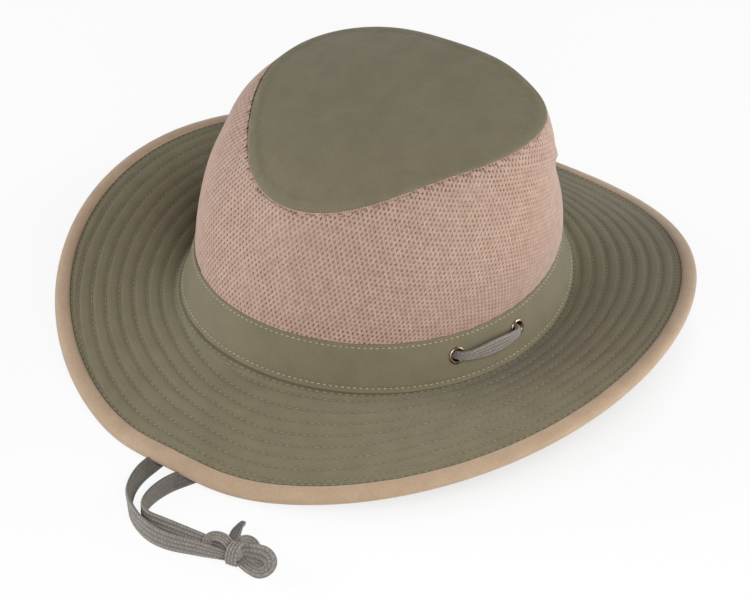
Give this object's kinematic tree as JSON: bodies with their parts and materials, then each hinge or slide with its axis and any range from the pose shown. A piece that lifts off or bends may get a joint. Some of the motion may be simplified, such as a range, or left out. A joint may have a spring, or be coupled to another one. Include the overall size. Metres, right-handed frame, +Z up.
{
  "type": "sun hat",
  "caption": "Outdoor sun hat: wide quilted brim curled up at the sides, stitched band with eyelets, mesh-sided crown with a teardrop tip, and a flat braided chin cord.",
  "frame": {"origin": "on the surface the hat rests on, under the middle of the brim, with the free chin cord left out", "axes": "+Z up, the front of the hat towards -Y, the wearer's left towards +X"},
  "size_m": [0.3088, 0.3594, 0.1308],
  "materials": {
    "olive_cloth": "matt quilted and topstitched cotton",
    "stiffener": "matt felted batting",
    "binding_tape": "soft sheen bias tape",
    "lining_cloth": "matt plain weave",
    "sweatband_cloth": "soft brushed terry",
    "mesh_cloth": "open warp-knit mesh",
    "seam_tape": "matt twill tape",
    "eyelet_metal": "antique plated, worn bright on the edges",
    "cord_braid": "flat ribbed braid"
  },
  "bodies": {
    "root": {"brim_top": "olive_cloth", "brim_core": "stiffener", "brim_under": "olive_cloth", "brim_binding": "binding_tape", "hat_band": "olive_cloth", "band_lining": "lining_cloth", "sweatband": "sweatband_cloth", "head_seam_roll": "olive_cloth", "crown_mesh": "mesh_cloth", "crown_tip": "olive_cloth", "tip_seam_tape": "seam_tape", "back_seam_tape": "seam_tape", "eyelets": "eyelet_metal", "eyelet_washers": "eyelet_metal", "cord_back_run": "cord_braid", "cord_span_left": "cord_braid", "cord_span_right": "cord_braid", "chin_cord_left": "cord_braid", "chin_cord_right": "cord_braid", "cord_loop": "cord_braid", "cord_tail": "cord_braid", "cord_knot": "cord_braid"}
  },
  "joints": []
}
